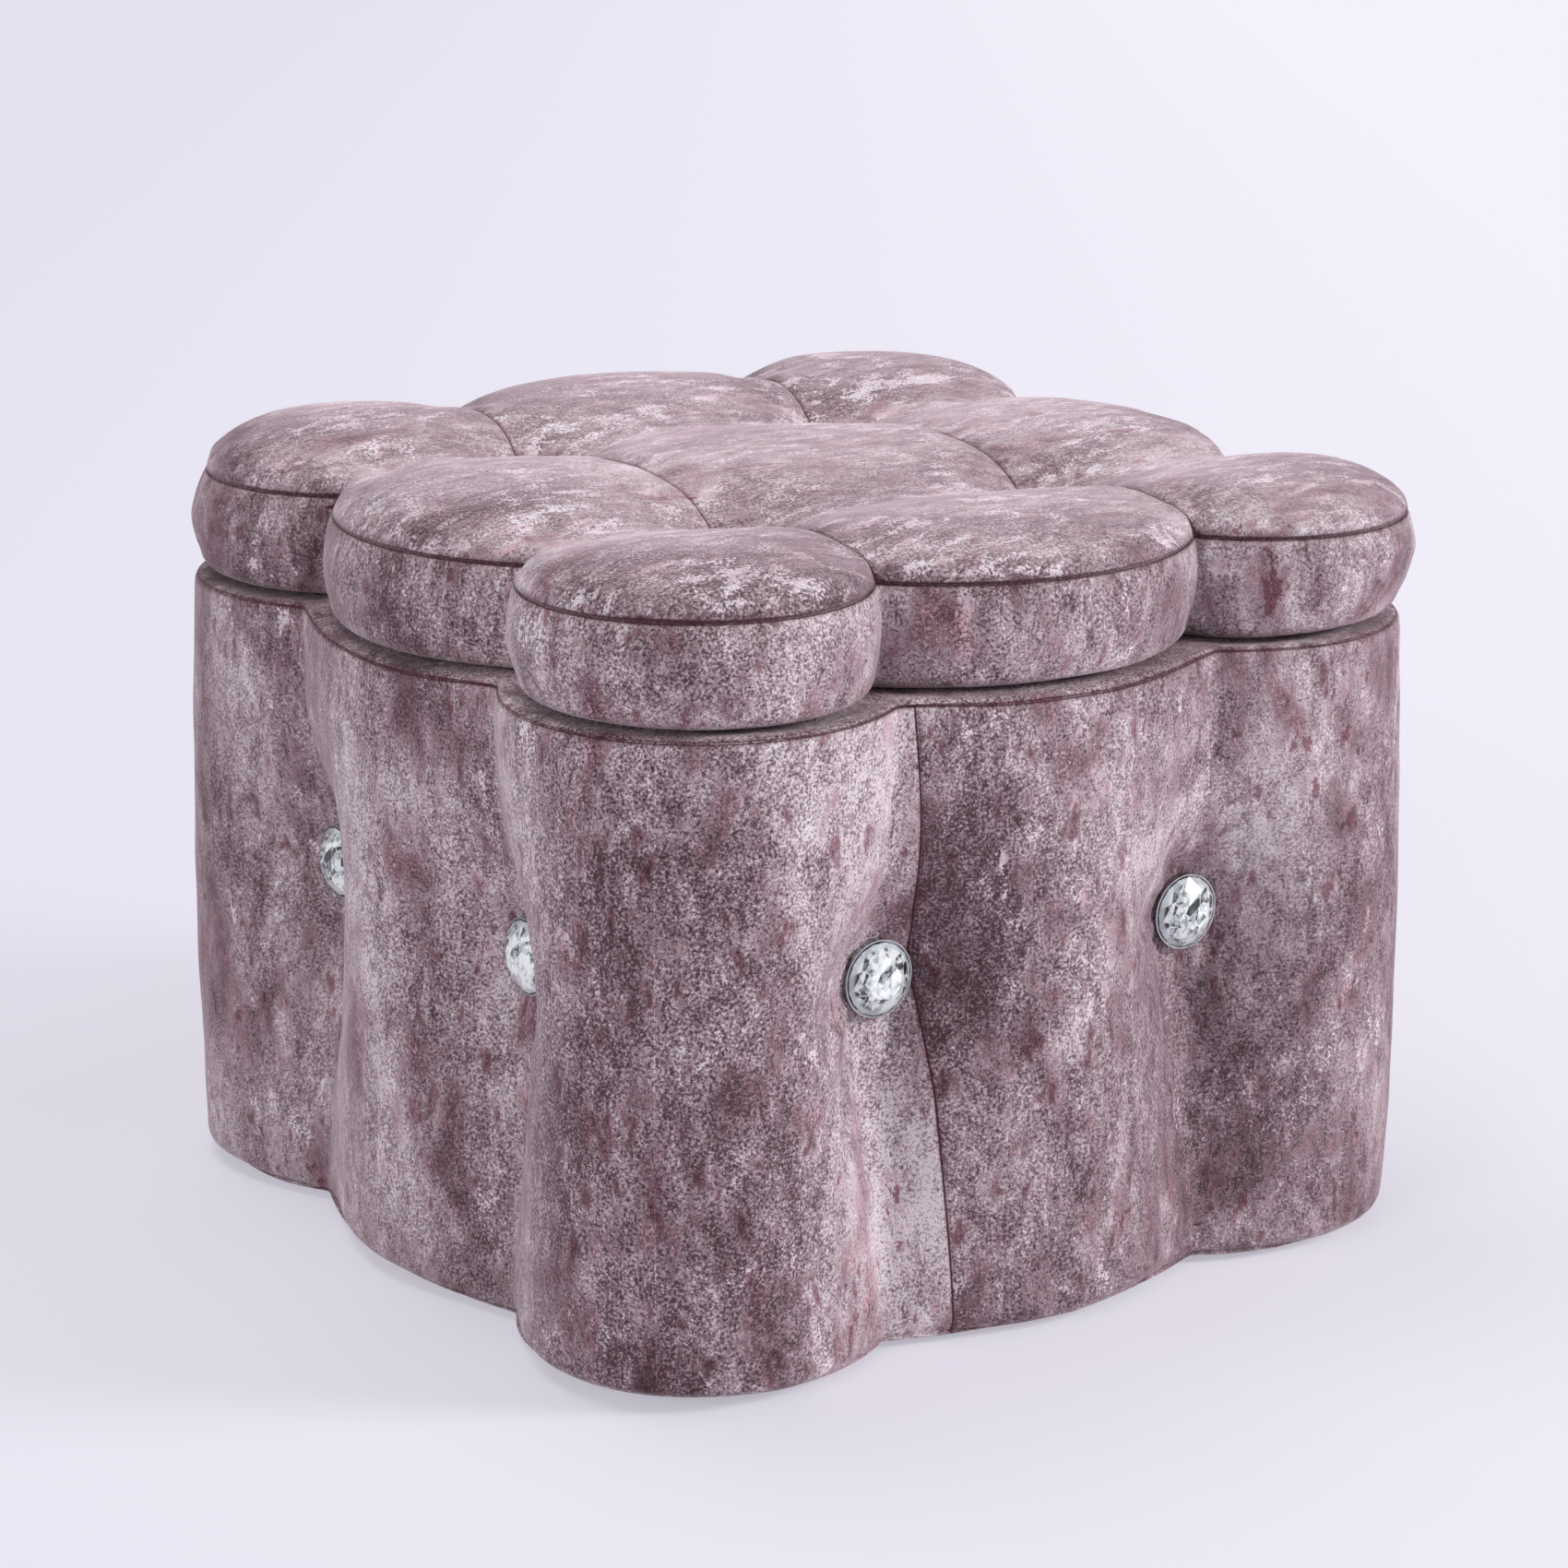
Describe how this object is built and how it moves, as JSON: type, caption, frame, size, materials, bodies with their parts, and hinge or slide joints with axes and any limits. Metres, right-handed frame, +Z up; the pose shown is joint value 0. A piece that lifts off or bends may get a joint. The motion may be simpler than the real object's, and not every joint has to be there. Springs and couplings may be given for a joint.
{
  "type": "storage pouf",
  "caption": "Square storage pouf in velvet with rounded lobes, crystal-buttoned sides and a lift-off tufted cushion lid over a lined box.",
  "frame": {"origin": "middle of the underside, on the floor that the glides stand on", "axes": "+Z up; -Y out of the front, +X to the right of someone who faces the front"},
  "size_m": [0.4, 0.4, 0.3162],
  "materials": {
    "velvet": "crushed velvet, mauve",
    "foam": "open-cell foam",
    "lining": "non-woven lining cloth",
    "wood": "raw plywood",
    "plastic": "satin moulded",
    "steel": "zinc plated",
    "button_metal": "polished",
    "crystal": "cut and polished, foil backed",
    "twine": "waxed twine"
  },
  "bodies": {
    "box": {"base_board": "wood", "front_panel": "wood", "back_panel": "wood", "left_panel": "wood", "right_panel": "wood", "corner_posts": "wood", "foam_front": "foam", "foam_back": "foam", "foam_left": "foam", "foam_right": "foam", "side_cover": "velvet", "rim_cover": "velvet", "lining_sides": "lining", "lining_floor": "lining", "dust_cover": "lining", "feet": "plastic", "foot_nails": "steel", "crystals_front": "crystal", "crystals_back": "crystal", "crystals_left": "crystal", "crystals_right": "crystal", "cups_front": "button_metal", "cups_back": "button_metal", "cups_left": "button_metal", "cups_right": "button_metal", "twines_front": "twine", "twines_back": "twine", "twines_left": "twine", "twines_right": "twine", "washers_front": "plastic", "washers_back": "plastic", "washers_left": "plastic", "washers_right": "plastic"},
    "lid": {"lid_board": "wood", "lid_battens": "wood", "batten_screws": "steel", "lid_lining": "lining", "lid_foam": "foam", "lid_top_cover": "velvet", "lid_side_band": "velvet", "lid_crystals": "crystal", "lid_cups": "button_metal", "lid_twines": "twine", "lid_washers": "plastic"}
  },
  "joints": [
    {"name": "lid_lift", "type": "slide", "parent": "box", "child": "lid", "axis": [0, 0, 1], "range_m": [0, 0.2]}
  ]
}
